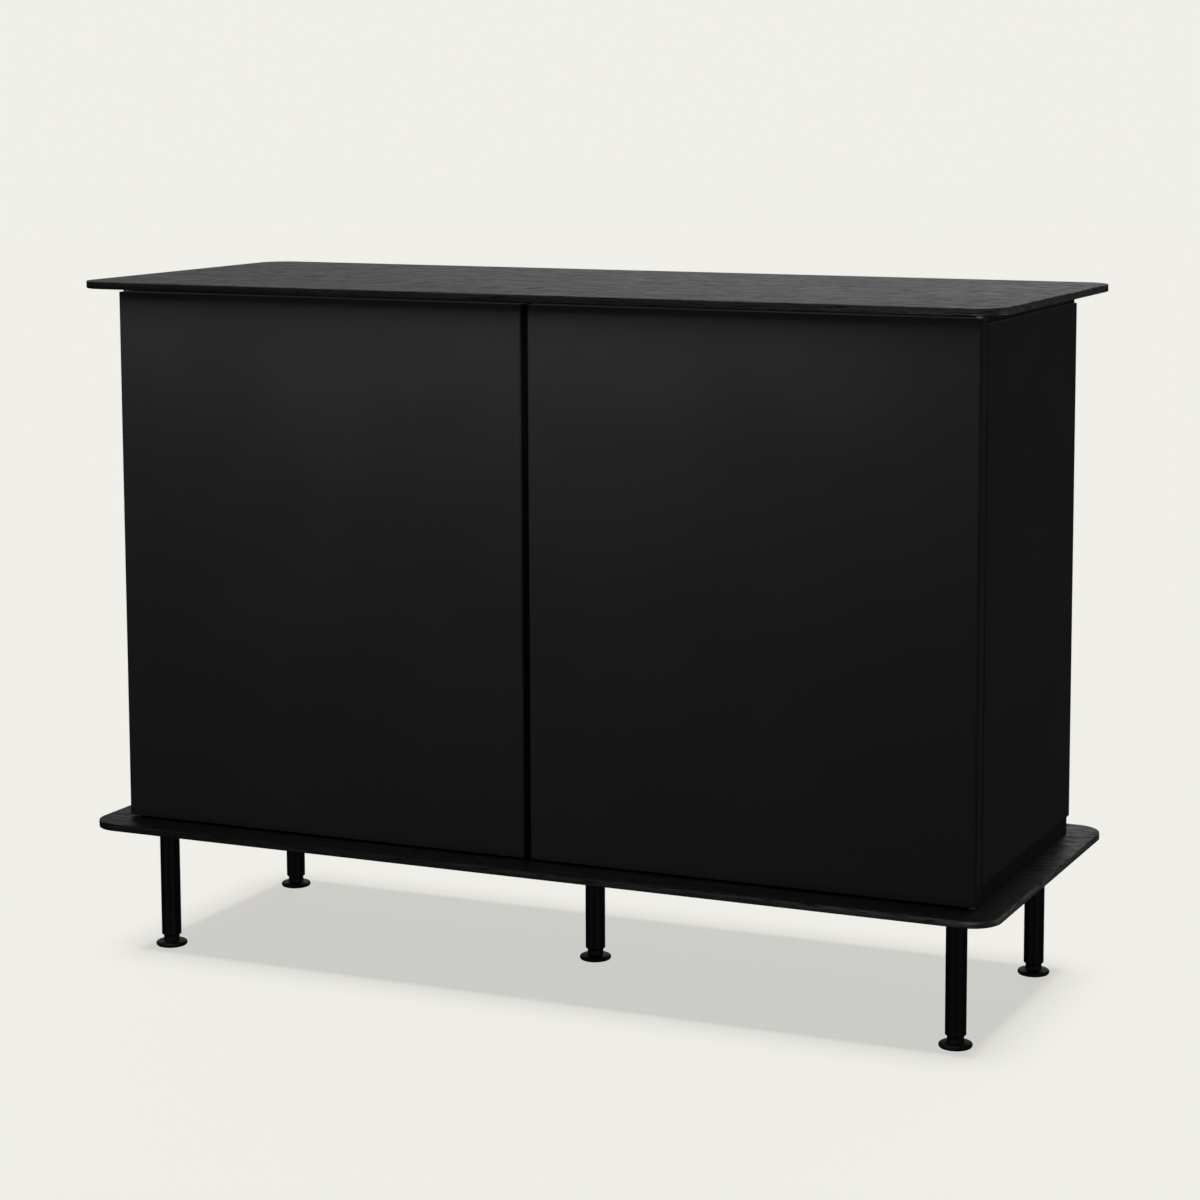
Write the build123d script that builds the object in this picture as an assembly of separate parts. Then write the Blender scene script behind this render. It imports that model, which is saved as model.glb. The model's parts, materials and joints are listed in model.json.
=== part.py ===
"""Low two-door sideboard: a board carcass with folded sheet-steel skins and doors between two
overhanging oak-veneered plates, standing on five tube legs with levelling feet.

Millimetres. X runs along the width, Y from the doors to the back, Z up from the floor.
The origin is on the floor, below the middle of the plates. The doors face -Y.
"""

from build123d import *
import os

# Overall size
WIDTH = 1200.0
DEPTH = 480.0
HEIGHT = 863.0

# Plates
PLATE = 9.0
PLATE_CORNER = 37.0
PLATE_ARRIS = 0.8
FLOOR_PLATE_TOP = 175.0  # height of the lower plate's upper face

# Body between the plates
SIDE_OVERHANG = 34.0
END_OVERHANG = 45.0  # plate beyond the door faces, and beyond the rear of the side skins
BOARD = 16.0
PARTITION = 18.0
BACK = 6.0
SHELF_BOTTOM = 500.0
SHELF_GAP = 1.0

# Side skins
SHEET = 1.5
SKIN_PROUD = 3.5  # how far a skin stands out from the carcass side
SKIN_FOOT_GAP = 24.0
SKIN_HEAD_GAP = 13.5
SKIN_REAR_BEND = 8.0
SKIN_FRONT_BEND = 3.0
SKIN_FLANGE = 25.0
BODY_TO_SKIN_REAR = 2.0  # how far the carcass ends before the rear face of the skins
SIDE_REAR_ROUND = 4.0
LIP_REAR_ROUND = 5.0

# Doors
DOOR = 20.0
DOOR_BEND = 3.0
DOOR_GAP = 8.0  # between the two doors
DOOR_FOOT_GAP = 3.0
DOOR_HEAD_GAP = 6.0
DOOR_BACK_GAP = 3.0  # between a closed door and the side skin behind it
GLUE = 0.1
PIVOT_FROM_SIDE = 7.0
PIVOT_FROM_BACK = 10.0
PIN_R = 3.0
PIN_COLLAR_R = 5.0
BUSH_R = 4.2
BUSH_LENGTH = 14.0
RUNNING = 0.05  # radial clearance of a running fit
PIN_SEAT = 6.0

# Legs and feet
LEG_R = 12.5
LEG_WALL = 2.0
LEG_INSET_X = 68.0
LEG_INSET_Y = 83.0
LEG_BOTTOM = 14.3
LEG_CHAMFER = 1.2
PLUG = 20.0
FOOT_R = 20.0
FOOT_DISC = 6.0
FOOT_NECK_R = 10.0
FOOT_NECK_TOP = 14.0
FOOT_STEM_R = 5.0
FOOT_STEM_TOP = 56.0
BOLT_R = 4.0

# Push latches
LATCH_X = 7.0  # plunger axis from the partition's face
LATCH_Z = 823.0
LATCH_DEPTH = 50.0
LATCH_HEIGHT = 16.0
PLUNGER_R = 5.0
PLUNGER_FIT = 0.08
PLUNGER_LENGTH = 34.5
PLUNGER_GAP = 0.5
STRIKE = 1.0

# Planes worked out from the sizes above
PLATE_TOP = HEIGHT - PLATE  # underside of the upper plate
SKIN_X = WIDTH / 2 - SIDE_OVERHANG
SIDE_X = SKIN_X - SKIN_PROUD
BAY_X = SIDE_X - BOARD
HALF_PARTITION = PARTITION / 2
DOOR_FACE = -DEPTH / 2 + END_OVERHANG
DOOR_REAR = DOOR_FACE + DOOR
SKIN_FRONT = DOOR_REAR + DOOR_BACK_GAP
SKIN_REAR = DEPTH / 2 - END_OVERHANG
BODY_FRONT = SKIN_FRONT + 2.0
BODY_REAR = SKIN_REAR - BODY_TO_SKIN_REAR
BACK_FRONT = BODY_REAR - BACK
BAY_FLOOR = FLOOR_PLATE_TOP + BOARD
BAY_CEILING = PLATE_TOP - BOARD
PIVOT_X = SKIN_X - PIVOT_FROM_SIDE
PIVOT_Y = DOOR_REAR - PIVOT_FROM_BACK
LEG_X = WIDTH / 2 - LEG_INSET_X
LEG_Y = DEPTH / 2 - LEG_INSET_Y
LEG_TOP = FLOOR_PLATE_TOP - PLATE
LEG_PLACES = {
    "front_left": (-LEG_X, -LEG_Y),
    "front_right": (LEG_X, -LEG_Y),
    "rear_left": (-LEG_X, LEG_Y),
    "rear_right": (LEG_X, LEG_Y),
    "centre": (0.0, 0.0),
}

# Fastener places
CONNECTOR_Y = (-110.0, 0.0, 110.0)
PARTITION_CONNECTOR_Y = (-110.0, 110.0)
PLATE_SCREW_X = (-430.0, -110.0, 110.0, 430.0)
PLATE_SCREW_Y = (-120.0, 130.0)
BACK_SCREW_X = (-500.0, -250.0, 0.0, 250.0, 500.0)
BACK_SCREW_Z = (350.0, 515.0, 680.0)
PIN_ROW_Y = (-130.0, 140.0)
PIN_ROW_STEPS = (-2, -1, 0, 1, 2)
PIN_ROW_PITCH = 32.0
SHELF_PIN_R = 2.5
SHELF_PIN_DEPTH = 7.0
SHELF_PIN_OUT = 8.0
RAIL_Z = (300.0, 720.0)
RAIL_SCREW_Y = (-100.0, 10.0, 120.0)
BUMPER_Z = (300.0, 780.0)


def block(x, y, z):
    """A box from three (low, high) pairs."""
    middle = Pos((x[0] + x[1]) / 2, (y[0] + y[1]) / 2, (z[0] + z[1]) / 2)
    return middle * Box(x[1] - x[0], y[1] - y[0], z[1] - z[0])


def rod(start, along, radius, length, top_radius=None):
    """A cylinder, or a cone when it has a top radius, from a point along a direction."""
    face = Plane(origin=start, z_dir=along)
    low = (Align.CENTER, Align.CENTER, Align.MIN)
    if top_radius is None:
        return face * Cylinder(radius, length, align=low)
    return face * Cone(radius, top_radius, length, align=low)


def other_side(shape):
    return mirror(shape, about=Plane.YZ)


def both_sides(shape):
    return [shape, other_side(shape)]


def save(name, *shapes):
    """Writes one node, a single solid or a group of separate solids."""
    solids = [solid for shape in shapes for solid in shape.solids()]
    node = solids[0] if len(solids) == 1 else Compound(children=solids)
    node.label = name
    export_step(node, f"parts/{name}.step")


# Plates ------------------------------------------------------------------------------------


def plate(bottom):
    outline = RectangleRounded(WIDTH, DEPTH, PLATE_CORNER)
    slab = Pos(0, 0, bottom) * extrude(outline, PLATE)
    ends = slab.edges().filter_by(Plane.XY)
    return chamfer(ends, PLATE_ARRIS)


def pin_places():
    return [(side * PIVOT_X, PIVOT_Y) for side in (-1, 1)]


def top_plate():
    shape = plate(PLATE_TOP)
    for x, y in pin_places():
        shape -= rod((x, y, PLATE_TOP), (0, 0, 1), PIN_R, PIN_SEAT)
    for screw in top_plate_screws():
        shape -= screw
    return shape


def bottom_plate():
    shape = plate(LEG_TOP)
    for x, y in pin_places():
        shape -= rod((x, y, FLOOR_PLATE_TOP), (0, 0, -1), PIN_R, PIN_SEAT)
    for x, y in LEG_PLACES.values():
        shape -= rod((x, y, LEG_TOP), (0, 0, 1), BOLT_R, PLATE)
    for screw in bottom_plate_screws():
        shape -= screw
    return shape


# Fasteners ---------------------------------------------------------------------------------


def top_plate_screws():
    """Pan-head screws up through the carcass top into the upper plate."""
    screws = []
    for x in PLATE_SCREW_X:
        for y in PLATE_SCREW_Y:
            head = rod((x, y, BAY_CEILING), (0, 0, -1), 4.5, 2.2)
            head = fillet(head.edges().group_by(Axis.Z)[0], 1.4)
            screws.append(head + rod((x, y, BAY_CEILING), (0, 0, 1), 2.0, BOARD + 6))
    return screws


def bottom_plate_screws():
    """Countersunk screws down through the carcass bottom into the lower plate."""
    screws = []
    for x in PLATE_SCREW_X:
        for y in PLATE_SCREW_Y:
            head = rod((x, y, BAY_FLOOR), (0, 0, -1), 4.0, 2.4, 2.0)
            screws.append(head + rod((x, y, BAY_FLOOR), (0, 0, -1), 2.0, BOARD + 6))
    return screws


def leg_bolts():
    """Countersunk bolts down through floor and plate into the plug at each leg's top."""
    bolts = []
    for x, y in LEG_PLACES.values():
        head = rod((x, y, BAY_FLOOR), (0, 0, -1), 8.0, 4.4, BOLT_R)
        shank = rod((x, y, BAY_FLOOR), (0, 0, -1), BOLT_R, BOARD + PLATE + PLUG - 2)
        socket = rod((x, y, BAY_FLOOR), (0, 0, -1), 2.5, 3.0)
        bolts.append(head + shank - socket)
    return bolts


def connector(start, along):
    """A furniture connector screw with a stepped head, set flush."""
    return rod(start, along, 5.0, 3.0) + rod(start, along, 3.0, 50.0)


def side_connectors():
    heights = (FLOOR_PLATE_TOP + BOARD / 2, PLATE_TOP - BOARD / 2)
    right = [connector((SIDE_X, y, z), (-1, 0, 0)) for y in CONNECTOR_Y for z in heights]
    return right + [other_side(screw) for screw in right]


def partition_connectors():
    lower = [connector((0, y, FLOOR_PLATE_TOP), (0, 0, 1)) for y in PARTITION_CONNECTOR_Y]
    upper = [connector((0, y, PLATE_TOP), (0, 0, -1)) for y in PARTITION_CONNECTOR_Y]
    return lower + upper


def back_screws():
    heights = (FLOOR_PLATE_TOP + BOARD / 2, PLATE_TOP - BOARD / 2)
    places = [(x, z) for x in BACK_SCREW_X for z in heights]
    places += [(0.0, z) for z in BACK_SCREW_Z]
    screws = []
    for x, z in places:
        head = rod((x, BODY_REAR, z), (0, 1, 0), 3.8, 1.8)
        head = fillet(head.edges().group_by(Axis.Y)[-1], 1.2)
        screws.append(head + rod((x, BODY_REAR, z), (0, -1, 0), 1.75, BACK + 12))
    return screws


def rail_screws():
    screws = []
    outer = SIDE_X + rail_thickness()
    for y in RAIL_SCREW_Y:
        for z in RAIL_Z:
            head = rod((outer, y, z), (-1, 0, 0), 3.6, 1.8, 1.8)
            screws.append(head + rod((outer, y, z), (-1, 0, 0), 1.8, 13.0))
    return screws + [other_side(screw) for screw in screws]


# Carcass -----------------------------------------------------------------------------------


def shelf_pin_holes(face_x, into):
    """Two columns of blind holes in the face at face_x, drilled towards into."""
    middle = SHELF_BOTTOM - SHELF_PIN_R - RUNNING
    return [
        rod((face_x, y, middle + step * PIN_ROW_PITCH), (into, 0, 0), SHELF_PIN_R, SHELF_PIN_DEPTH)
        for y in PIN_ROW_Y
        for step in PIN_ROW_STEPS
    ]


def carcass_side():
    """The right side board."""
    shape = block((BAY_X, SIDE_X), (BODY_FRONT, BODY_REAR), (FLOOR_PLATE_TOP, PLATE_TOP))
    shape = fillet(outer_corners(shape)[1], SIDE_REAR_ROUND)
    return shape - side_connectors() - rail_screws() - shelf_pin_holes(BAY_X, 1)


def carcass_floor():
    shape = block((-BAY_X, BAY_X), (BODY_FRONT, BACK_FRONT), (FLOOR_PLATE_TOP, BAY_FLOOR))
    cuts = side_connectors() + partition_connectors() + bottom_plate_screws()
    cuts += leg_bolts() + back_screws()
    sockets = [rod((x, y, BAY_FLOOR), (0, 0, -1), 2.5, 3.0) for x, y in LEG_PLACES.values()]
    return shape - cuts - sockets


def carcass_ceiling():
    shape = block((-BAY_X, BAY_X), (BODY_FRONT, BACK_FRONT), (BAY_CEILING, PLATE_TOP))
    cuts = side_connectors() + partition_connectors() + top_plate_screws() + back_screws()
    return shape - cuts


def centre_partition():
    half = HALF_PARTITION
    shape = block((-half, half), (BODY_FRONT, BACK_FRONT), (BAY_FLOOR, BAY_CEILING))
    shape -= partition_connectors() + back_screws() + latch_screws()
    return shape - shelf_pin_holes(half, -1) - shelf_pin_holes(-half, 1)


def back_panel():
    wide = BAY_X - 0.5
    shape = block((-wide, wide), (BACK_FRONT, BODY_REAR), (FLOOR_PLATE_TOP + 1, PLATE_TOP - 1))
    return shape - back_screws()


def shelf():
    """The right shelf board."""
    across = (HALF_PARTITION + SHELF_GAP, BAY_X - SHELF_GAP)
    board = block(across, (BODY_FRONT + 8, BACK_FRONT - 2), (SHELF_BOTTOM, SHELF_BOTTOM + BOARD))
    return fillet(board.edges().filter_by(Axis.X), 0.8)


def shelf_pins():
    """The four pins under the right shelf."""
    middle = SHELF_BOTTOM - SHELF_PIN_R - RUNNING
    length = SHELF_PIN_DEPTH + SHELF_PIN_OUT
    pins = []
    for y in PIN_ROW_Y:
        for face, out in ((HALF_PARTITION, 1), (BAY_X, -1)):
            pin = rod((face - out * SHELF_PIN_DEPTH, y, middle), (out, 0, 0), SHELF_PIN_R, length)
            pins.append(chamfer(pin.edges().group_by(Axis.X)[-1 if out > 0 else 0], 0.6))
    return pins


# Side skins --------------------------------------------------------------------------------


def rail_thickness():
    return SKIN_PROUD - SHEET - GLUE


def skin():
    """The right skin: a folded sheet with long front and rear flanges and short lips."""
    low, high = FLOOR_PLATE_TOP + SKIN_FOOT_GAP, PLATE_TOP - SKIN_HEAD_GAP
    inner = SKIN_X - SKIN_FLANGE
    shape = block((inner, SKIN_X), (SKIN_FRONT, SKIN_REAR), (low, high))
    front, rear = outer_corners(shape)
    shape = fillet(front, SKIN_FRONT_BEND)
    shape = fillet(outer_corners(shape)[1], SKIN_REAR_BEND)
    hollow = block(
        (inner, SKIN_X - SHEET),
        (SKIN_FRONT + SHEET, SKIN_REAR - SHEET),
        (low + SHEET, high - SHEET),
    )
    hollow = fillet(outer_corners(hollow)[0], SKIN_FRONT_BEND - SHEET)
    hollow = fillet(outer_corners(hollow)[1], SKIN_REAR_BEND - SHEET)
    lips = block(
        (inner, SIDE_X + 0.4), (SKIN_FRONT + SHEET, SKIN_REAR - SHEET), (low - 1, high + 1)
    )
    lips = fillet(outer_corners(lips)[1], LIP_REAR_ROUND)
    front_trim = block((inner, BAY_X + 1), (SKIN_FRONT, SKIN_FRONT + SHEET), (low, high))
    return shape - hollow - lips - front_trim


def outer_corners(shape):
    """The two vertical edges at the largest X, front first."""
    upright = shape.edges().filter_by(Axis.Z)
    return upright.group_by(Axis.X)[-1].sort_by(Axis.Y)


def skin_rails():
    """Two rails on the right side that the skin hooks over."""
    along = (RAIL_SCREW_Y[0] - 30, RAIL_SCREW_Y[-1] + 30)
    rails = []
    for z in RAIL_Z:
        rail = block((SIDE_X, SIDE_X + rail_thickness()), along, (z - 16, z + 16))
        rails.append(rail - rail_screws())
    return rails


# Doors -------------------------------------------------------------------------------------


def door_block(inset, rear):
    """The right door's outline shrunk by inset on every side but the back."""
    low, high = FLOOR_PLATE_TOP + DOOR_FOOT_GAP, PLATE_TOP - DOOR_HEAD_GAP
    shape = block(
        (DOOR_GAP / 2 + inset, SKIN_X - inset),
        (DOOR_FACE + inset, rear),
        (low + inset, high - inset),
    )
    upright = shape.edges().filter_by(Axis.Z)
    return fillet(upright.group_by(Axis.Y)[0], DOOR_BEND - inset)


def bush_holes(radius):
    low, high = FLOOR_PLATE_TOP + DOOR_FOOT_GAP, PLATE_TOP - DOOR_HEAD_GAP
    lower = rod((PIVOT_X, PIVOT_Y, low), (0, 0, 1), radius, BUSH_LENGTH)
    upper = rod((PIVOT_X, PIVOT_Y, high), (0, 0, -1), radius, BUSH_LENGTH)
    return [lower, upper]


def door_skin():
    """The right door's folded steel pan, open at the back."""
    return door_block(0.0, DOOR_REAR) - door_block(SHEET, DOOR_REAR) - bush_holes(BUSH_R)


def door_core():
    """The right door's board, glued into the pan."""
    shape = door_block(SHEET + GLUE, DOOR_REAR)
    return shape - bush_holes(BUSH_R) - strike_screws()


def door_bushes():
    return [bush - rod_through_bush() for bush in bush_holes(BUSH_R)]


def rod_through_bush():
    return rod((PIVOT_X, PIVOT_Y, FLOOR_PLATE_TOP), (0, 0, 1), PIN_R + RUNNING, PLATE_TOP)


def pivot_pins():
    """Right-hand pins: seated in the plates, with a collar in the gap and a nose in the bush."""
    pins = []
    for z, up, gap in ((FLOOR_PLATE_TOP, 1, DOOR_FOOT_GAP), (PLATE_TOP, -1, DOOR_HEAD_GAP)):
        length = PIN_SEAT + gap + BUSH_LENGTH - 1.0
        pin = rod((PIVOT_X, PIVOT_Y, z - up * PIN_SEAT), (0, 0, up), PIN_R, length)
        collar = rod((PIVOT_X, PIVOT_Y, z), (0, 0, up), PIN_COLLAR_R, gap - 0.4)
        pins.append(pin + collar)
    return pins


# Push latches ------------------------------------------------------------------------------


def latch_x():
    return HALF_PARTITION + LATCH_X


def latch_screws():
    """Two screws for the right latch, through its foot into the partition, and their mirrors."""
    screws = []
    for y in (BODY_FRONT + 8, BODY_FRONT + LATCH_DEPTH - 8):
        z = LATCH_Z - LATCH_HEIGHT / 2 - 4
        head = rod((HALF_PARTITION + 3, y, z), (1, 0, 0), 3.0, 1.6)
        head = fillet(head.edges().group_by(Axis.X)[-1], 1.0)
        screws.append(head + rod((HALF_PARTITION + 3, y, z), (-1, 0, 0), 1.5, 3 + 6))
    return screws + [other_side(screw) for screw in screws]


def latch_housing():
    """The right latch's body with a screw foot below it, bored for the plunger."""
    front = BODY_FRONT + 1
    low, high = LATCH_Z - LATCH_HEIGHT / 2, LATCH_Z + LATCH_HEIGHT / 2
    along = (front, front + LATCH_DEPTH)
    body = block((HALF_PARTITION, HALF_PARTITION + 2 * LATCH_X), along, (low, high))
    body = fillet(body.edges().filter_by(Axis.Y).group_by(Axis.X)[-1], 2.0)
    foot = block((HALF_PARTITION, HALF_PARTITION + 3), along, (low - 8, low))
    bore = rod((latch_x(), front, LATCH_Z), (0, 1, 0), PLUNGER_R + PLUNGER_FIT, LATCH_DEPTH - 14)
    return body + foot - bore - latch_screws()


def plunger_front():
    return DOOR_REAR + STRIKE + PLUNGER_GAP


def magnet():
    return rod((latch_x(), plunger_front(), LATCH_Z), (0, 1, 0), 3.5, 3.0)


def plunger():
    shape = rod((latch_x(), plunger_front(), LATCH_Z), (0, 1, 0), PLUNGER_R, PLUNGER_LENGTH)
    shape = chamfer(shape.edges().group_by(Axis.Y)[0], 0.6)
    return shape - magnet()


def strike_screws():
    """Two countersunk screws that hold the right door's strike plate."""
    screws = []
    for z in (LATCH_Z - 9, LATCH_Z + 9):
        head = rod((latch_x(), DOOR_REAR + STRIKE, z), (0, -1, 0), 2.4, 1.0, 1.3)
        screws.append(head + rod((latch_x(), DOOR_REAR + STRIKE, z), (0, -1, 0), 1.3, 9.0))
    return screws


def strike_plate():
    across = (latch_x() - 7, latch_x() + 7)
    shape = block(across, (DOOR_REAR, DOOR_REAR + STRIKE), (LATCH_Z - 13, LATCH_Z + 13))
    shape = fillet(shape.edges().filter_by(Axis.Y), 3.0)
    return shape - strike_screws()


def door_bumpers():
    """Two soft stops for the right door, on the partition's front edge."""
    x = DOOR_GAP / 2 + 2.5
    stops = []
    for z in BUMPER_Z:
        stop = rod((x, BODY_FRONT, z), (0, -1, 0), 2.4, BODY_FRONT - DOOR_REAR - 0.4)
        stops.append(fillet(stop.edges().group_by(Axis.Y)[0], 1.0))
    return stops


# Legs --------------------------------------------------------------------------------------


def leg(x, y):
    tube = rod((x, y, LEG_BOTTOM), (0, 0, 1), LEG_R, LEG_TOP - LEG_BOTTOM)
    tube = chamfer(tube.edges().group_by(Axis.Z)[0], LEG_CHAMFER)
    return tube - rod((x, y, LEG_BOTTOM), (0, 0, 1), LEG_R - LEG_WALL, LEG_TOP - LEG_BOTTOM)


def plug(x, y, low, bore):
    """A turned plug that fills the leg's tube, with a threaded bore."""
    outer = LEG_R - LEG_WALL - RUNNING
    return rod((x, y, low), (0, 0, 1), outer, PLUG) - rod((x, y, low), (0, 0, 1), bore, PLUG)


def foot(x, y):
    """A levelling foot: bull-nosed disc, neck and threaded stem, turned in one piece."""
    disc = rod((x, y, 0), (0, 0, 1), FOOT_R, FOOT_DISC)
    disc = fillet(disc.edges(), FOOT_DISC / 2 - 0.1)
    neck = rod((x, y, FOOT_DISC), (0, 0, 1), FOOT_NECK_R, FOOT_NECK_TOP - FOOT_DISC)
    stem = rod((x, y, FOOT_DISC), (0, 0, 1), FOOT_STEM_R, FOOT_STEM_TOP - FOOT_DISC)
    return disc + neck + stem


# Everything --------------------------------------------------------------------------------


def save_pair(name, right):
    """Saves a right-hand piece and its mirror image as two nodes."""
    pieces = right if isinstance(right, list) else [right]
    save(f"{name}_right", *pieces)
    save(f"{name}_left", *[other_side(piece) for piece in pieces])


def save_group(name, right):
    """Saves right-hand pieces and their mirror images as one node."""
    pieces = right if isinstance(right, list) else [right]
    save(name, *pieces, *[other_side(piece) for piece in pieces])


def main():
    os.makedirs("parts", exist_ok=True)
    save("top_plate", top_plate())
    save("bottom_plate", bottom_plate())
    save("carcass_ceiling", carcass_ceiling())
    save("carcass_floor", carcass_floor())
    save("centre_partition", centre_partition())
    save("back_panel", back_panel())
    save_pair("carcass_side", carcass_side())
    save_pair("shelf", shelf())
    save_group("shelf_pins", shelf_pins())

    save_pair("side_skin", skin())
    save_group("skin_rails", skin_rails())

    save_pair("door_skin", door_skin())
    save_pair("door_core", door_core())
    save_pair("door_bushes", door_bushes())
    save_group("pivot_pins", pivot_pins())
    save_group("door_bumpers", door_bumpers())

    save_group("latch_housings", latch_housing())
    save_pair("latch_plunger", plunger())
    save_pair("latch_magnet", magnet())
    save_pair("strike_plate", strike_plate())
    save_pair("strike_screws", strike_screws())

    for name, (x, y) in LEG_PLACES.items():
        save(f"leg_{name}", leg(x, y))
        save(f"foot_{name}", foot(x, y))
    places = LEG_PLACES.values()
    save("leg_top_plugs", *[plug(x, y, LEG_TOP - PLUG, BOLT_R) for x, y in places])
    stem_bore = FOOT_STEM_R + RUNNING
    save("leg_foot_sockets", *[plug(x, y, LEG_BOTTOM, stem_bore) for x, y in places])

    save("leg_bolts", *leg_bolts())
    save("top_plate_screws", *top_plate_screws())
    save("bottom_plate_screws", *bottom_plate_screws())
    save("connector_screws", *side_connectors(), *partition_connectors())
    save("back_panel_screws", *back_screws())
    save("rail_screws", *rail_screws())
    save("latch_screws", *latch_screws())


main()
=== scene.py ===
# %% [markdown]
# # A low black sideboard with two doors
#
# The object is a board carcass with folded sheet-steel doors and side skins, held between two thin
# oak-veneered plates on five tube legs. Everything on it is black, so what the eye reads is gloss:
# open-grained oak on the plates, satin powder coat on the steel, duller moulded plastic on the
# feet.
#
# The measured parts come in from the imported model. This script gives each of them the finish that
# the real one has, adds the small turned, taped and pressed pieces, and sets up a plain studio.

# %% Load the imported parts
import json
import math

import bmesh
import bpy
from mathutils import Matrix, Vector


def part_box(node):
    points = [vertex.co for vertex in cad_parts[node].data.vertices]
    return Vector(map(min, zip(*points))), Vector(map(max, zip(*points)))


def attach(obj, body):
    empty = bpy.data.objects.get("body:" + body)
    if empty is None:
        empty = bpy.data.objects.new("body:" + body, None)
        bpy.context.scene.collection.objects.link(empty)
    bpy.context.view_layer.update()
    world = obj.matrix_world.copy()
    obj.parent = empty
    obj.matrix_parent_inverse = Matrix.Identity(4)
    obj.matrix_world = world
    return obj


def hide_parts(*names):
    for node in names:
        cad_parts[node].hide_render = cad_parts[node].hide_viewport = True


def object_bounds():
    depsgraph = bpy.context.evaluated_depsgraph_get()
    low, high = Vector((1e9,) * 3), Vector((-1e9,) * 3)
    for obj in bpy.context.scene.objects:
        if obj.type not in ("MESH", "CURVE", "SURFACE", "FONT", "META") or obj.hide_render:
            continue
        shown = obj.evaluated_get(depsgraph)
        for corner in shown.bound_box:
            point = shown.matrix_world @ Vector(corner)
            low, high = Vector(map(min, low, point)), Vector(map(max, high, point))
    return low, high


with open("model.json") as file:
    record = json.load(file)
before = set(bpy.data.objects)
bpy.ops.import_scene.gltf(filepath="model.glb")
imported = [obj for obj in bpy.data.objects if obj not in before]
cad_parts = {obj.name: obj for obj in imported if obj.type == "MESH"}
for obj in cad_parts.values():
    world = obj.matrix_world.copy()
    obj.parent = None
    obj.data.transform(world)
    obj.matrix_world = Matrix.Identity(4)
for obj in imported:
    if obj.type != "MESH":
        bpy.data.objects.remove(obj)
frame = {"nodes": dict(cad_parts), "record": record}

cad_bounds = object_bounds()
nodes = frame["nodes"]

# %% [markdown]
# Sizes of shop-made things are easiest to think of in millimetres, while Blender works in metres.
# One factor turns the first into the second. A pattern's scale is the other way round: it says how
# many times the pattern repeats in a metre, so a small helper works it out from a size in
# millimetres.

# %% Units
MM = 0.001
DEGREE = math.pi / 180


def per_metre(size_mm):
    """How often a detail of this size fits into a metre."""
    return 1 / (size_mm * MM)


low, high = cad_bounds
print("overall, mm:", [round(side / MM) for side in high - low])

# %% [markdown]
# ## Camera
#
# Furniture is best shown from far back with a long lens, so that the upright edges stay nearly
# parallel. The lens here is about 90 mm on a 36 mm sensor. The camera stands to the right of the
# cabinet, a little above its top, and looks slightly down. The small shift slides the view on the
# sensor without turning the camera.

# %% Camera
LENS = 89.77
SENSOR = 36
LOOK_LEFT = 23.099 * DEGREE
LOOK_DOWN = 6.866 * DEGREE

camera = bpy.data.objects.new("camera", bpy.data.cameras.new("camera"))
bpy.context.collection.objects.link(camera)
camera.data.lens = LENS
camera.data.sensor_width = SENSOR
camera.data.shift_x = -0.075
camera.data.shift_y = -0.1275
camera.data.clip_end = 100
camera.location = (1.5662, -3.3651, 1.1036)
camera.rotation_euler = (90 * DEGREE - LOOK_DOWN, 0, LOOK_LEFT)
bpy.context.scene.camera = camera
bpy.context.scene.view_settings.view_transform = "Standard"
print("camera height, mm:", round(camera.location.z / MM))

# %% [markdown]
# ## Colours and nodes
#
# Colours are picked as sRGB hex values, but light adds up in linear numbers, so one function
# turns the first into the second. Another one adds a shader node with its settings and its inputs.
# An input is named or numbered, and it takes a plain value, a socket, or a whole node, which stands
# for that node's first output.


# %% Colour and node helpers
def srgb(hex_colour):
    """A hex colour as linear red, green, blue and alpha."""
    parts = [int(hex_colour[i : i + 2], 16) / 255 for i in (1, 3, 5)]
    linear = [p / 12.92 if p <= 0.04045 else ((p + 0.055) / 1.055) ** 2.4 for p in parts]
    return (*linear, 1)


def add(tree, kind, inputs=None, **settings):
    """Adds a node. Settings are its properties; inputs are values, sockets or nodes."""
    made = tree.nodes.new("ShaderNode" + kind)
    for name, value in settings.items():
        setattr(made, name, value)
    for name, value in (inputs or {}).items():
        if isinstance(name, str):
            socket = next(s for s in made.inputs if s.name == name and s.enabled)
        else:
            socket = made.inputs[name]
        if isinstance(value, bpy.types.Node):
            value = next(s for s in value.outputs if s.enabled)
        if isinstance(value, bpy.types.NodeSocket):
            tree.links.new(value, socket)
        else:
            socket.default_value = value
    return made


def empty_material(name):
    """A material without nodes, and its node tree."""
    material = bpy.data.materials.new(name)
    material.use_nodes = True
    material.node_tree.nodes.clear()
    return material, material.node_tree


print("black stain, linear:", [round(c, 4) for c in srgb("#1b1a19")])

# %% [markdown]
# ## Studio
#
# The floor and the backdrop are one pale warm grey, so the cabinet seems to stand in front of
# nothing. A large dome in that colour gives the backdrop from every side. The floor glows with most
# of its colour and takes the rest from the lamps, which keeps the shadow below the cabinet pale,
# as on a lit white sweep. Neither of the two shows in the black surfaces.

# %% Floor and backdrop
PALE = "#f0efea"
FLOOR_GREY = "#93928e"
FLOOR_GLOW = 0.68
FLOOR_RADIUS = 20
DOME_RADIUS = 21


def studio_surface(name, shape, **sizes):
    """A floor or a dome that the camera sees and the object doesn't mirror."""
    mesh = bpy.data.meshes.new(name)
    bm = bmesh.new()
    shape(bm, **sizes)
    bm.to_mesh(mesh)
    bm.free()
    made = bpy.data.objects.new(name, mesh)
    bpy.context.collection.objects.link(made)
    made.visible_glossy = False
    made.visible_diffuse = False
    made.visible_shadow = False
    return made


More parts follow.
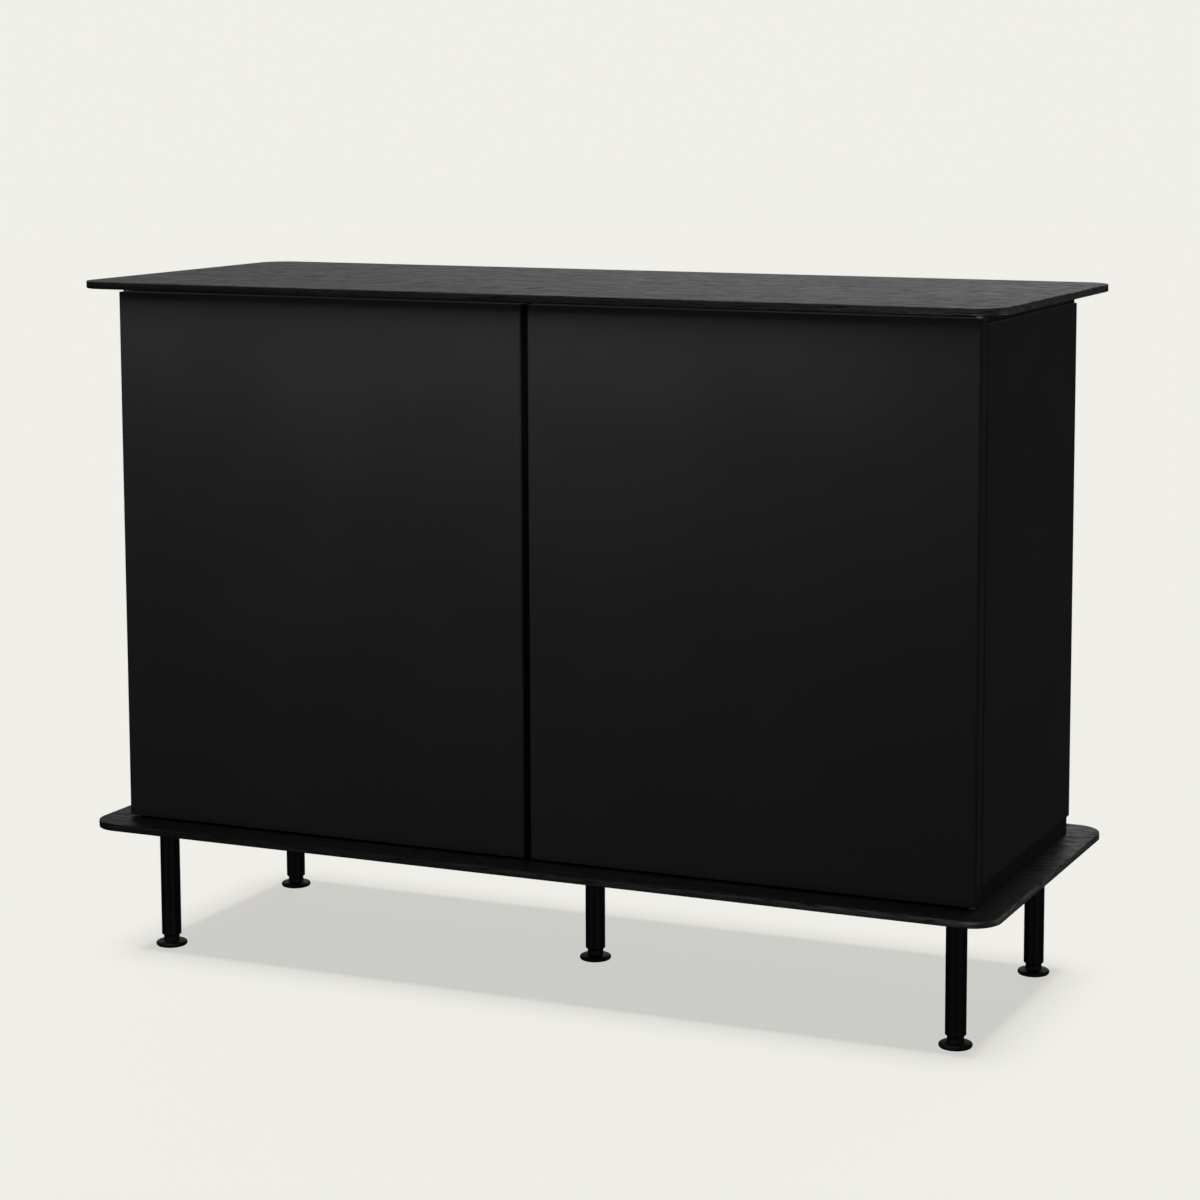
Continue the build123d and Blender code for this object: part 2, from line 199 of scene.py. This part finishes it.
floor = studio_surface(
    "floor", bmesh.ops.create_circle, cap_ends=True, segments=96, radius=FLOOR_RADIUS
)
dome = studio_surface(
    "backdrop", bmesh.ops.create_uvsphere, u_segments=48, v_segments=24, radius=DOME_RADIUS
)

backdrop_paint, tree = empty_material("backdrop_paint")
glow = add(tree, "Emission", {"Color": srgb(PALE)})
add(tree, "OutputMaterial", {"Surface": glow})
dome.data.materials.append(backdrop_paint)

floor_paint, tree = empty_material("floor_paint")
glow = add(tree, "Emission", {"Color": srgb(PALE), "Strength": FLOOR_GLOW})
matt = add(tree, "BsdfDiffuse", {"Color": srgb(FLOOR_GREY)})
add(tree, "OutputMaterial", {"Surface": add(tree, "AddShader", {0: glow, 1: matt})})
floor.data.materials.append(floor_paint)
print("studio surfaces:", floor.name, dome.name)

# %% [markdown]
# What the black surfaces mirror is the room light, which depends on direction only. It is dim, and
# fades below the horizon. Soft round patches of light stand in it: a sweep behind the cabinet,
# which the top mirrors; a pale wall in front, which the doors mirror; and lights on the right,
# which draw the highlights on the rounded corners, bends and tubes. Lamps could do the same, but a
# patch is at the same bearing wherever the piece that mirrors it is, so it is easier to place.


# %% Room light
def glow_from(tree, direction, bearing, rise, spread, strength):
    """A soft round patch of light. Its bearing is counted from the front towards the right, its
    rise from the horizon, and its spread from the patch's middle to its rim."""
    across, up = bearing * DEGREE, rise * DEGREE
    middle = (math.sin(across) * math.cos(up), -math.cos(across) * math.cos(up), math.sin(up))
    facing = add(tree, "VectorMath", {0: direction, 1: middle}, operation="DOT_PRODUCT")
    rim = math.cos(spread * DEGREE)
    fade = {"Value": facing.outputs["Value"], "From Min": rim, "To Max": strength}
    return add(tree, "MapRange", fade, interpolation_type="SMOOTHSTEP")


world = bpy.data.worlds.new("room_light")
bpy.context.scene.world = world
world.use_nodes = True
tree = world.node_tree
tree.nodes.clear()
direction = add(tree, "TexCoord").outputs["Generated"]
height_of = add(tree, "SeparateXYZ", {"Vector": direction}).outputs["Z"]
dim = {"Value": height_of, "From Min": -0.35, "From Max": 0.3, "To Min": 0.008, "To Max": 0.09}
light = add(tree, "MapRange", dim, interpolation_type="SMOOTHSTEP")
patches = {
    "sweep behind the cabinet": (192, 26, 30, 0.88),
    "the sweep's brighter left end": (228, 18, 18, 0.5),
    "pale wall in front": (-18, 3, 34, 0.22),
    "right front light": (55, 5, 22, 0.7),
    "right rear light": (112, 5, 18, 0.2),
    "floor glow on the right": (155, -10, 11, 0.12),
}
for bearing, rise, spread, strength in patches.values():
    patch = glow_from(tree, direction, bearing, rise, spread, strength)
    light = add(tree, "Math", {0: light, 1: patch})
add(tree, "OutputWorld", {"Surface": add(tree, "Background", {"Strength": light})})
print("patches of light:", ", ".join(patches))

# %% [markdown]
# A broad lamp straight above the cabinet draws the soft shadow on the floor. A sun lamp suits this:
# its light is equally strong everywhere, so the floor doesn't show a pool of light, and its angle
# sets how soft the shadow's edge is.
#
# A softbox hangs just above and in front of the doors. It is close, so its light fades quickly down
# them, which is the one gradient that the eye finds on the plain black steel. Light linking keeps
# it off the floor and the plates, as a flag does in a studio, and keeps the thin plates out of the
# overhead lamp's shadow, so that the shadow on the floor has the outline of the body. The upper
# plate then no longer shades the lower one, so the lower one is kept out of the overhead lamp's
# light. Two weak low lamps, linked to the plates alone, draw the light lines along their front and
# right edges, and a fill lamp behind keeps the back of the cabinet readable from there. The fill
# isn't mirrored, so that it leaves no glint on the feet when they are seen from the front.


# %% Lamps
def lamp(name, kind, energy, **settings):
    """A lamp that lights the object and doesn't show itself."""
    made = bpy.data.objects.new(name, bpy.data.lights.new(name, kind))
    bpy.context.collection.objects.link(made)
    made.data.energy = energy
    for key, value in settings.items():
        setattr(made.data, key, value)
    made.visible_camera = False
    return made


def panel(name, energy, width, height, place, tilt, turn):
    """A flat lamp, its sides and place in metres. It looks down, is tilted up towards +Y and then
    turned about the upright axis, in degrees."""
    made = lamp(name, "AREA", energy, shape="RECTANGLE", size=width, size_y=height)
    made.location = place
    made.rotation_euler = (tilt * DEGREE, 0, turn * DEGREE)
    return made


overhead = lamp("overhead", "SUN", 2.6, angle=9 * DEGREE)
softbox = panel("softbox", 8, 1.4, 0.5, (-0.35, -0.62, 1.2), 50, 0)
front_edge_light = panel("front_edge_light", 9, 1.6, 0.12, (0.9, -1.9, 0.1), 100, 20)
end_edge_light = panel("end_edge_light", 9, 0.8, 0.12, (2.2, 1.0, 0.1), 100, 120)
rear_fill = panel("rear_fill", 60, 1.4, 0.8, (-1.6, 2.4, 1.5), 65, 214)
rear_fill.visible_glossy = False

# %% [markdown]
# A linking collection lists what a lamp lights, or what throws a shadow in its light. When all that
# it lists is marked as left out, everything else counts as listed.


# %% Light linking
def leave_out(collection, thing):
    """Marks a thing as left out of a lamp's light or shadow."""
    collection.objects.link(thing)
    collection.collection_objects[-1].light_linking.link_state = "EXCLUDE"


unlit = bpy.data.collections.new("not_lit_by_softbox")
softbox.light_linking.receiver_collection = unlit
rear_fill.light_linking.receiver_collection = unlit
leave_out(unlit, floor)
leave_out(unlit, dome)

shadowless = bpy.data.collections.new("no_shadow_from_overhead")
overhead.light_linking.blocker_collection = shadowless
shaded = bpy.data.collections.new("not_lit_by_overhead")
overhead.light_linking.receiver_collection = shaded

only_plates = bpy.data.collections.new("lit_by_edge_lights")
front_edge_light.light_linking.receiver_collection = only_plates
end_edge_light.light_linking.receiver_collection = only_plates

# %% [markdown]
# ## Stained oak veneer
#
# The plates are covered with sliced oak, stained black and closed with a thin matt lacquer. Oak is
# ring-porous: each year's growth starts with a row of large pores, which stay open as fine dark
# dashes along the grain. The stain sinks into the soft spring wood and leaves the hard summer wood
# a shade lighter, which gives long bands. The lacquer is thinnest in the pores, so they look dull.
#
# Three noises drawn out along the grain stand for the figure, the yearly bands and the pores. A
# real pore is about 0.3 mm wide, too fine to show from across a room, so the dashes are drawn
# several times as wide. The pattern follows a map on the plate, laid flat over its faces and along
# its edge, because a veneered edge has its grain running round the plate.

# %% Stained oak
FIGURE, FIGURE_STRETCH = 10, 9
BAND, BAND_STRETCH = 7, 30
PORE, PORE_STRETCH = 1.4, 20
PORE_DEPTH = 0.25
BAND_SHARE = 0.55


def grain_noise(tree, place, size_mm, stretch, detail):
    """Noise with details of one size across the grain, drawn out along it."""
    longer = add(tree, "Mapping", {"Vector": place, "Scale": (1 / stretch, 1, 1)})
    settings = {"Vector": longer, "Scale": per_metre(size_mm), "Detail": detail, "Distortion": 0.3}
    return add(tree, "TexNoise", settings).outputs["Fac"]


def stained_oak():
    """Black-stained oak: dark spring wood, lighter summer wood, and dull open pores."""
    material, tree = empty_material("stained_oak_veneer")
    place = add(tree, "UVMap", uv_map="grain")
    figure = grain_noise(tree, place, FIGURE, FIGURE_STRETCH, 3)
    bands = grain_noise(tree, place, BAND, BAND_STRETCH, 2)
    pores = grain_noise(tree, place, PORE, PORE_STRETCH, 1)
    pore = add(tree, "MapRange", {0: pores, 1: 0.54, 2: 0.62}, interpolation_type="SMOOTHSTEP")
    tone = add(tree, "Mix", {"Factor": BAND_SHARE, "A": figure, "B": bands})
    shade = add(tree, "MapRange", {0: tone, 1: 0.36, 2: 0.64}, interpolation_type="SMOOTHSTEP")
    wood = {"Factor": shade, "A": srgb("#121110"), "B": srgb("#2a2927")}
    wood = add(tree, "Mix", wood, data_type="RGBA")
    pored = {"Factor": pore, "A": wood, "B": srgb("#070707")}
    pored = add(tree, "Mix", pored, data_type="RGBA")
    matt = add(tree, "MapRange", {0: shade, 3: 0.5, 4: 0.36})
    matt = add(tree, "MapRange", {0: pore, 3: matt, 4: 1.0})
    ridge = add(tree, "Math", {0: shade, 1: 0.25}, operation="MULTIPLY")
    height = add(tree, "Math", {0: ridge, 1: pore}, operation="SUBTRACT")
    relief = add(tree, "Bump", {"Height": height, "Strength": 0.6, "Distance": PORE_DEPTH * MM})
    surface = {"Base Color": pored, "Roughness": matt, "Normal": relief, "Specular IOR Level": 0.4}
    add(tree, "OutputMaterial", {"Surface": add(tree, "BsdfPrincipled", surface)})
    return material


oak = stained_oak()
print(oak.name, "has", len(oak.node_tree.nodes), "nodes")

# %% [markdown]
# ## Coatings, boards and plastics
#
# Most of the other finishes are one colour with a fine texture from how they were made: powder
# coat is orange-peel from the melted powder, moulded plastic is pebbled from its spark-eroded
# mould, dyed board shows its pressed fibres through the lacquer. What differs is the size of the
# texture, how high it stands, and how much the gloss wanders. So one recipe makes them all from
# those facts: a fine noise for the relief, and a broad one for the gloss and a slight change of
# colour.


# %% Fine-textured finishes
def fine_finish(name, colour, second, gloss, wander, texture_mm, relief_mm, broad_mm, **constants):
    """A non-metal with a fine texture. Its colour drifts between two close shades, and its
    roughness wanders about a middle value; sizes are in millimetres."""
    material, tree = empty_material(name)
    place = add(tree, "TexCoord").outputs["Object"]
    fine = {"Vector": place, "Scale": per_metre(texture_mm), "Detail": 2}
    fine = add(tree, "TexNoise", fine).outputs["Fac"]
    broad = {"Vector": place, "Scale": per_metre(broad_mm), "Detail": 3}
    broad = add(tree, "TexNoise", broad).outputs["Fac"]
    drift = add(tree, "MapRange", {0: broad, 1: 0.35, 2: 0.65}, interpolation_type="SMOOTHSTEP")
    tint = {"Factor": drift, "A": srgb(colour), "B": srgb(second)}
    tint = add(tree, "Mix", tint, data_type="RGBA")
    matt = add(tree, "MapRange", {0: drift, 3: gloss - wander, 4: gloss + wander})
    relief = add(tree, "Bump", {"Height": fine, "Strength": 0.5, "Distance": relief_mm * MM})
    surface = {"Base Color": tint, "Roughness": matt, "Normal": relief} | constants
    add(tree, "OutputMaterial", {"Surface": add(tree, "BsdfPrincipled", surface)})
    return material


# Polyester powder coat, baked on sheet steel: an even satin black with a faint orange peel. The
# peel's bumps are about 2 mm across and a few hundredths high.
door_coat = fine_finish(
    "satin_powder_coat", "#141414", "#161616", 0.44, 0.02, 2.2, 0.03, 180, IOR=1.5
)
# The same powder on tube, where it lies a little smoother.
leg_coat = fine_finish(
    "tube_powder_coat", "#0a0a0a", "#0d0d0d", 0.46, 0.02, 1.8, 0.02, 60, IOR=1.45
)
# Through-dyed fibreboard under matt lacquer: nearly no gloss, with fibres in clumps of 1 to 3 mm.
dyed_board = fine_finish(
    "black_dyed_board", "#1b1b1a", "#222121", 0.58, 0.04, 1.6, 0.06, 14,
    **{"Specular IOR Level": 0.4},
)  # fmt: skip
# Extruded ABS edging, glued on the boards' front edges and trimmed: smoother than the board.
edging = fine_finish(
    "edging_abs", "#101010", "#131313", 0.42, 0.03, 1.2, 0.01, 40, IOR=1.53
)
# Injection-moulded nylon with short glass fibres: deep black, dull, with a pebbled mould grain.
nylon = fine_finish(
    "glass_filled_nylon", "#070708", "#0b0b0c", 0.56, 0.05, 0.7, 0.03, 9, IOR=1.45
)
# Moulded ABS with a coarser mould grain, a shade greyer than the board behind it.
abs_grey = fine_finish(
    "moulded_abs", "#1b1b1c", "#1f1f20", 0.48, 0.04, 0.6, 0.03, 12, IOR=1.53
)
# Natural acetal, a hard waxy white plastic, for the bushes that the pivot pins turn in.
acetal = fine_finish(
    "natural_acetal", "#deded6", "#e6e5de", 0.33, 0.04, 1.0, 0.01, 8, IOR=1.48
)
# Cast silicone for the soft stops: greyish, waxy and slightly see-through.
silicone = fine_finish(
    "clear_silicone", "#b9bcbc", "#c6c9c8", 0.35, 0.05, 0.8, 0.01, 3, IOR=1.41
)
silicone.node_tree.nodes["Principled BSDF"].inputs["Transmission Weight"].default_value = 0.45
fine_finishes = (door_coat, leg_coat, dyed_board, edging, nylon, abs_grey, acetal, silicone)
print("fine-textured finishes:", [finish.name for finish in fine_finishes])

# %% [markdown]
# ## Plated and blackened steel
#
# Zinc plate is a thin bright layer with a milky bluish bloom that comes out uneven from the bath.
# Black oxide is the steel's own surface turned black in a hot salt bath and oiled: it stays
# metallic, and shines darkly. Both keep fine tool marks, which a stretched noise stands for. The
# marks are drawn about half a millimetre wide, coarser than real ones, so that they show.


# %% Steel finishes
def steel_finish(name, bright, dull, low_gloss, high_gloss, bloom_mm, mark_mm):
    """A metal whose brightness and gloss both wander, with fine marks in its surface."""
    material, tree = empty_material(name)
    place = add(tree, "TexCoord").outputs["Object"]
    bloom = {"Vector": place, "Scale": per_metre(bloom_mm), "Detail": 4}
    bloom = add(tree, "TexNoise", bloom).outputs["Fac"]
    drift = add(tree, "MapRange", {0: bloom, 1: 0.35, 2: 0.65}, interpolation_type="SMOOTHSTEP")
    tint = {"Factor": drift, "A": srgb(bright), "B": srgb(dull)}
    tint = add(tree, "Mix", tint, data_type="RGBA")
    matt = add(tree, "MapRange", {0: drift, 3: low_gloss, 4: high_gloss})
    turned_marks = add(tree, "Mapping", {"Vector": place, "Scale": (0.1, 0.1, 1)})
    marks = {"Vector": turned_marks, "Scale": per_metre(mark_mm), "Detail": 2}
    marks = add(tree, "TexNoise", marks).outputs["Fac"]
    relief = add(tree, "Bump", {"Height": marks, "Strength": 0.4, "Distance": 0.02 * MM})
    surface = {"Base Color": tint, "Roughness": matt, "Normal": relief, "Metallic": 1.0}
    add(tree, "OutputMaterial", {"Surface": add(tree, "BsdfPrincipled", surface)})
    return material


zinc = steel_finish("bright_zinc_plate", "#c9ccd0", "#a9adb3", 0.26, 0.42, 6, 0.5)
blackened = steel_finish("black_oxide_steel", "#1b1b1d", "#111113", 0.3, 0.45, 3, 0.5)
print("steel finishes:", zinc.name, blackened.name)

# %% [markdown]
# ## Dressing the measured parts
#
# The record says which finish each part has. A part whose measured shape is right keeps it, and
# only gets its material. Emptying the slots first takes away the plain stand-in colour.

# %% Assign the finishes
finishes = {
    "stained_oak": oak,
    "black_board": dyed_board,
    "powder_coat": door_coat,
    "leg_coat": leg_coat,
    "foot_plastic": nylon,
    "bright_zinc": zinc,
    "black_screw": blackened,
    "bush_plastic": acetal,
    "latch_plastic": abs_grey,
    "soft_stop": silicone,
}
for subpart in frame["record"]["subparts"]:
    materials = nodes[subpart["node"]].data.materials
    materials.clear()
    materials.append(finishes[subpart["material_slot"]])
print("dressed parts:", len(nodes))

# %% [markdown]
# ## Making new pieces
#
# A new piece starts as a bmesh and is finished in one way: its faces are turned outwards, it is
# shaded smooth except across real corners, and it is told which body it moves with and which
# finish it has. Where it stands for a measured part, that part is hidden.


# %% Finish a piece
SHARP = 35 * DEGREE


def finish_piece(name, bm, body, slot, material, *stands_for):
    """Makes a bmesh a piece that moves with a body."""
    bmesh.ops.recalc_face_normals(bm, faces=bm.faces[:])
    for face in bm.faces:
        face.smooth = True
    for edge in bm.edges:
        edge.smooth = edge.calc_face_angle(0) < SHARP
    mesh = bpy.data.meshes.new(name)
    bm.to_mesh(mesh)
    bm.free()
    mesh.materials.append(material)
    piece = bpy.data.objects.new(name, mesh)
    bpy.context.collection.objects.link(piece)
    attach(piece, body)
    if stands_for:
        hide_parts(*stands_for)
    return piece


def slab(lowest, highest):
    """A box between two corners, as a bmesh."""
    bm = bmesh.new()
    bmesh.ops.create_cube(bm, size=1)
    bmesh.ops.scale(bm, vec=highest - lowest, verts=bm.verts[:])
    bmesh.ops.translate(bm, vec=(lowest + highest) / 2, verts=bm.verts[:])
    return bm


def round_edges(bm, edges, radius_mm, steps):
    """Rounds edges with a bevel of several steps."""
    bmesh.ops.bevel(
        bm, geom=edges, offset=radius_mm * MM, offset_type="OFFSET", segments=steps,
        profile=0.5, affect="EDGES", material=-1,
    )  # fmt: skip


print("corners sharper than", round(SHARP / DEGREE), "degrees stay sharp")

# %% [markdown]
# ## The two plates
#
# Each plate is a 9 mm board with rounded corners. Its edge is covered with a strip of the same
# veneer, and the arrises are broken with sandpaper, so they catch the light as two thin lines. The
# measured plate has the same outline. It is modelled again here for the soft arrises, and for a
# map that runs along the edge: the top's outline is walked once, and each point of the edge takes
# the distance walked so far.


# %% The grain's map
def walk_outline(face):
    """The face's corners, each with the distance walked to reach it, and the whole way round."""
    corners = [loop.vert.co.xy.copy() for loop in face.loops]
    walked, so_far = [], 0.0
    for here, there in zip(corners, corners[1:] + corners[:1]):
        walked.append((here, so_far))
        so_far += (there - here).length
    return walked, so_far


LEVEL = 0.99  # the upright part of a level face's normal


def map_grain(bm):
    """Lays the grain map flat on both faces, and along the outline on the edge."""
    grain = bm.loops.layers.uv.new("grain")
    top = max(bm.faces, key=lambda face: face.calc_center_median().z)
    walked, round_trip = walk_outline(top)
    for face in bm.faces:
        if abs(face.normal.z) > LEVEL:
            for loop in face.loops:
                loop[grain].uv = loop.vert.co.xy
            continue
        ways = []
        for loop in face.loops:
            spot = loop.vert.co.xy
            ways.append(min(walked, key=lambda stop: (stop[0] - spot).length)[1])
        over_the_start = max(ways) - min(ways) > round_trip / 2
        for loop, way in zip(face.loops, ways):
            if over_the_start and way < round_trip / 2:
                way += round_trip
            loop[grain].uv = (way, loop.vert.co.z)


print("faces whose normal leans less than", round(math.acos(LEVEL) / DEGREE), "degrees lie flat")

# %% [markdown]
# A box gets its four upright edges rounded first, and then the rims above and below, which by then
# are the only sharp edges left. A wide corner needs many steps to look round; a 1 mm arris doesn't.

# %% Plates
PLATE_CORNER, CORNER_STEPS = 37, 14
ARRIS, ARRIS_STEPS = 1.1, 3
SQUARE = 60 * DEGREE  # an edge that turns more than this is a rim


def veneered_plate(name, node):
    """A plate in place of a measured one."""
    bm = slab(*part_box(node))
    upright = [edge for edge in bm.edges if abs(edge.verts[0].co.z - edge.verts[1].co.z) > MM]
    round_edges(bm, upright, PLATE_CORNER, CORNER_STEPS)
    rims = [edge for edge in bm.edges if edge.calc_face_angle(0) > SQUARE]
    round_edges(bm, rims, ARRIS, ARRIS_STEPS)
    bm.normal_update()
    map_grain(bm)
    return finish_piece(name, bm, "cabinet", "stained_oak", oak, node)


for node in ("top_plate", "bottom_plate"):
    plate = veneered_plate("veneered_" + node, node)
    leave_out(unlit, plate)
    leave_out(shadowless, plate)
    if node == "bottom_plate":
        leave_out(shaded, plate)
    only_plates.objects.link(plate)
    print(plate.name, len(plate.data.polygons), "faces")

# %% [markdown]
# ## Levelling feet
#
# A foot is a nylon disc with a bull-nosed rim, moulded onto a threaded steel stem that screws up
# into the leg. Turning it lowers the disc and brings some of the thread into view. Both pieces are
# round, so each starts as half of its outline and is spun about the upright axis. The underside is
# slightly hollow, so that the foot stands on a ring. The thread is drawn as separate rings, because
# at this size a helix looks the same.

# %% A foot's outlines
FOOT_OUTLINE = [  # radius and height, mm
    (0, 0.8), (14.6, 0.8), (15.4, 0), (17.4, 0), (18.7, 0.5), (19.6, 1.5), (20, 2.8), (19.8, 4.1),
    (19.1, 5.1), (17.9, 5.7), (14.5, 6.1), (11.4, 6.6), (10.3, 7.3), (10, 8.4), (10, 13.3),
    (9.3, 14), (0, 14),
]  # fmt: skip
THREAD_PITCH, THREAD_TURNS = 1.5, 28
THREAD_CREST, THREAD_ROOT = 5.0, 4.2
THREAD_LOW = 13.5


def thread_outline():
    """Half of a threaded stem, one tooth for each turn."""
    outline = [(0, THREAD_LOW), (THREAD_ROOT, THREAD_LOW)]
    for turn in range(THREAD_TURNS):
        start = THREAD_LOW + turn * THREAD_PITCH
        outline.append((THREAD_CREST, start + THREAD_PITCH / 2))
        outline.append((THREAD_ROOT, start + THREAD_PITCH))
    return outline + [(0, outline[-1][1])]


print("stem ends at, mm:", thread_outline()[-1][1])

# %% [markdown]
# Spinning a line of edges a full turn gives a closed skin, and merging takes out the points that
# fall together on the axis. The measured foot says where each new one stands.

# %% Feet
TURNING_STEPS = 48
MERGE = 0.001  # mm


def turned(outline_mm, steps):
    """Spins (radius, height) points about the upright axis. The outline starts and ends on it."""
    bm = bmesh.new()
    points = [bm.verts.new((radius * MM, 0, height * MM)) for radius, height in outline_mm]
    lines = [bm.edges.new(pair) for pair in zip(points, points[1:])]
    bmesh.ops.spin(
        bm, geom=points + lines, axis=(0, 0, 1), cent=(0, 0, 0), steps=steps,
        angle=2 * math.pi, use_merge=True,
    )  # fmt: skip
    bmesh.ops.remove_doubles(bm, verts=bm.verts[:], dist=MERGE * MM)
    return bm


for node in [name for name in nodes if name.startswith("foot_")]:
    lowest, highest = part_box(node)
    stand = Vector(((lowest.x + highest.x) / 2, (lowest.y + highest.y) / 2, lowest.z))
    disc = turned(FOOT_OUTLINE, TURNING_STEPS)
    stem = turned(thread_outline(), TURNING_STEPS // 2)
    for bm in (disc, stem):
        bmesh.ops.translate(bm, vec=stand, verts=bm.verts[:])
    finish_piece("moulded_" + node, disc, node + "_body", "foot_plastic", nylon, node)
    finish_piece("stem_of_" + node, stem, node + "_body", "bright_zinc", zinc, node)
    print(node, "stands at, mm:", [round(c / MM) for c in stand])

# %% [markdown]
# ## Edging on the boards
#
# A sawn board shows a rough edge, so the front edges of a carcass are covered with plastic edging
# about a millimetre thick, glued on and trimmed with a tiny radius. Each strip is a thin slab in
# front of its board, as wide as the board, with its edges rounded.

# %% Edging
EDGING = 0.8
EDGING_ROUND = 0.3


def edging_strip(node):
    """A strip on the front edge of a board."""
    lowest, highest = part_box(node)
    front = lowest.y
    lowest.y = front - EDGING * MM
    highest.y = front
    bm = slab(lowest, highest)
    round_edges(bm, bm.edges[:], EDGING_ROUND, 2)
    return finish_piece("edging_on_" + node, bm, "cabinet", "black_board", edging)


for node in (
    "carcass_side_left", "carcass_side_right", "carcass_floor", "carcass_ceiling",
    "centre_partition", "shelf_left", "shelf_right",
):  # fmt: skip
    print(edging_strip(node).name)

# %% [markdown]
# ## Screw heads
#
# The screws that show are cross-headed. The measured ones have the head's size and dome but no
# recess for the driver, so they are made again with one. The measured screws give the places. A
# copy of their mesh is merged and falls apart into one island for each screw.


# %% Where the screws are
COPY_MERGE = 0.01  # mm


def islands(node):
    """The lowest and highest corner of each separate solid in a measured part."""
    bm = bmesh.new()
    bm.from_mesh(nodes[node].data)
    bmesh.ops.remove_doubles(bm, verts=bm.verts[:], dist=COPY_MERGE * MM)
    waiting, boxes = set(bm.verts), []
    while waiting:
        island, reached = set(), [waiting.pop()]
        while reached:
            vert = reached.pop()
            island.add(vert)
            for edge in vert.link_edges:
                other = edge.other_vert(vert)
                if other in waiting:
                    waiting.remove(other)
                    reached.append(other)
        spots = [vert.co for vert in island]
        lowest = Vector([min(spot[axis] for spot in spots) for axis in range(3)])
        highest = Vector([max(spot[axis] for spot in spots) for axis in range(3)])
        boxes.append((lowest, highest))
    bm.free()
    return sorted(boxes, key=lambda box: tuple(box[0]))


print("screws in the back:", len(islands("back_panel_screws")))

# %% [markdown]
# Each screw is turned from its outline and left open on top. A grid of three by three squares with
# its corners taken off makes the cross, its rim is bridged to the open ring, and the cross is
# extruded down and drawn in to make a tapered recess. The recess is sized from the head's radius,
# as a driver's size goes with the screw's.

# %% A cross-headed screw
HEAD_STEPS = 24
CROSS_REACH = 0.5
CROSS_WIDTH = 0.13
CROSS_DEPTH = 0.45
CROSS_TAPER = 0.6
COUNTERSINK = 0.6


def cross_head(radius, dome, shank, length):
    """A screw with its head up, in millimetres. A head with a dome sits on z = 0, and a
    countersunk head ends there."""
    under = 0.0 if dome else -COUNTERSINK * radius
    outline = [
        (0, -length), (shank, -length), (shank, under), (radius, 0), (0.97 * radius, 0.45 * dome),
        (0.84 * radius, 0.8 * dome), (0.66 * radius, dome),
    ]  # fmt: skip
    bm = turned(outline, HEAD_STEPS)
    ring = [edge for edge in bm.edges if edge.is_boundary]
    size = CROSS_REACH * radius * MM
    before = set(bm.faces)
    bmesh.ops.create_grid(bm, x_segments=3, y_segments=3, size=size)
    squares = [face for face in bm.faces if face not in before]
    off_corners = [f for f in squares if min(map(abs, f.calc_center_median().xy)) > size / 3]
    cross = [face for face in squares if face not in off_corners]
    bmesh.ops.delete(bm, geom=off_corners, context="FACES")
    for vert in {vert for face in cross for vert in face.verts}:
        for axis in (0, 1):
            if abs(vert.co[axis]) < 0.9 * size:
                vert.co[axis] = math.copysign(CROSS_WIDTH * radius * MM, vert.co[axis])
        vert.co.z = dome * MM
    rim = [edge for edge in bm.edges if edge.is_boundary and edge not in ring]
    bmesh.ops.bridge_loops(bm, edges=ring + rim)
    sunk = bmesh.ops.extrude_face_region(bm, geom=cross)["geom"]
    floor_verts = [part for part in sunk if isinstance(part, bmesh.types.BMVert)]
    bmesh.ops.delete(bm, geom=[f for f in cross if f.is_valid], context="FACES_ONLY")
    bmesh.ops.scale(bm, vec=(CROSS_TAPER, CROSS_TAPER, 1), verts=floor_verts)
    bmesh.ops.translate(bm, vec=(0, 0, -CROSS_DEPTH * radius * MM), verts=floor_verts)
    return bm


sample = cross_head(radius=3.8, dome=1.8, shank=1.75, length=12)
print("faces in a screw:", len(sample.faces))
sample.free()

# %% [markdown]
# A screw is turned from upright to the way its head faces, and moved until its head ends where the
# measured one does, at that side of the island's box. All screws of one measured part make one
# piece.


# %% Screws
def join(parts):
    """One bmesh from several."""
    whole = bmesh.new()
    for part in parts:
        mesh = bpy.data.meshes.new("part")
        part.to_mesh(mesh)
        part.free()
        whole.from_mesh(mesh)
        bpy.data.meshes.remove(mesh)
    return whole


def cross_screws(node, body, facing, **sizes):
    """Cross-headed screws in place of a measured node. Facing gives a head's direction from the
    middle of its island."""
    heads = []
    for lowest, highest in islands(node):
        middle = (lowest + highest) / 2
        towards = facing(middle)
        reach = sum(abs(towards[i]) * (highest[i] - lowest[i]) for i in range(3)) / 2
        head = cross_head(**sizes)
        turn = Vector((0, 0, 1)).rotation_difference(towards).to_matrix()
        bmesh.ops.rotate(head, cent=(0, 0, 0), matrix=turn, verts=head.verts[:])
        place = middle + towards * (reach - sizes["dome"] * MM)
        bmesh.ops.translate(head, vec=place, verts=head.verts[:])
        heads.append(head)
    count = len(heads)
    finish_piece("cross_" + node, join(heads), body, "black_screw", blackened, node)
    print(node, count, "screws")


def to_rear(middle):
    return Vector((0, 1, 0))


def away_from_partition(middle):
    return Vector((math.copysign(1, middle.x), 0, 0))


cross_screws("back_panel_screws", "cabinet", to_rear, radius=3.8, dome=1.8, shank=1.75, length=12)
cross_screws(
    "top_plate_screws", "cabinet", lambda middle: Vector((0, 0, -1)),
    radius=4.5, dome=2.2, shank=2.0, length=16,
)  # fmt: skip
cross_screws(
    "bottom_plate_screws", "cabinet", lambda middle: Vector((0, 0, 1)),
    radius=4.0, dome=0.0, shank=2.0, length=16,
)  # fmt: skip
cross_screws(
    "latch_screws", "cabinet", away_from_partition, radius=3.0, dome=1.6, shank=1.5, length=8
)
for side in ("left", "right"):
    cross_screws(
        "strike_screws_" + side, "door_" + side, to_rear, radius=2.4, dome=0.0, shank=1.2, length=8
    )
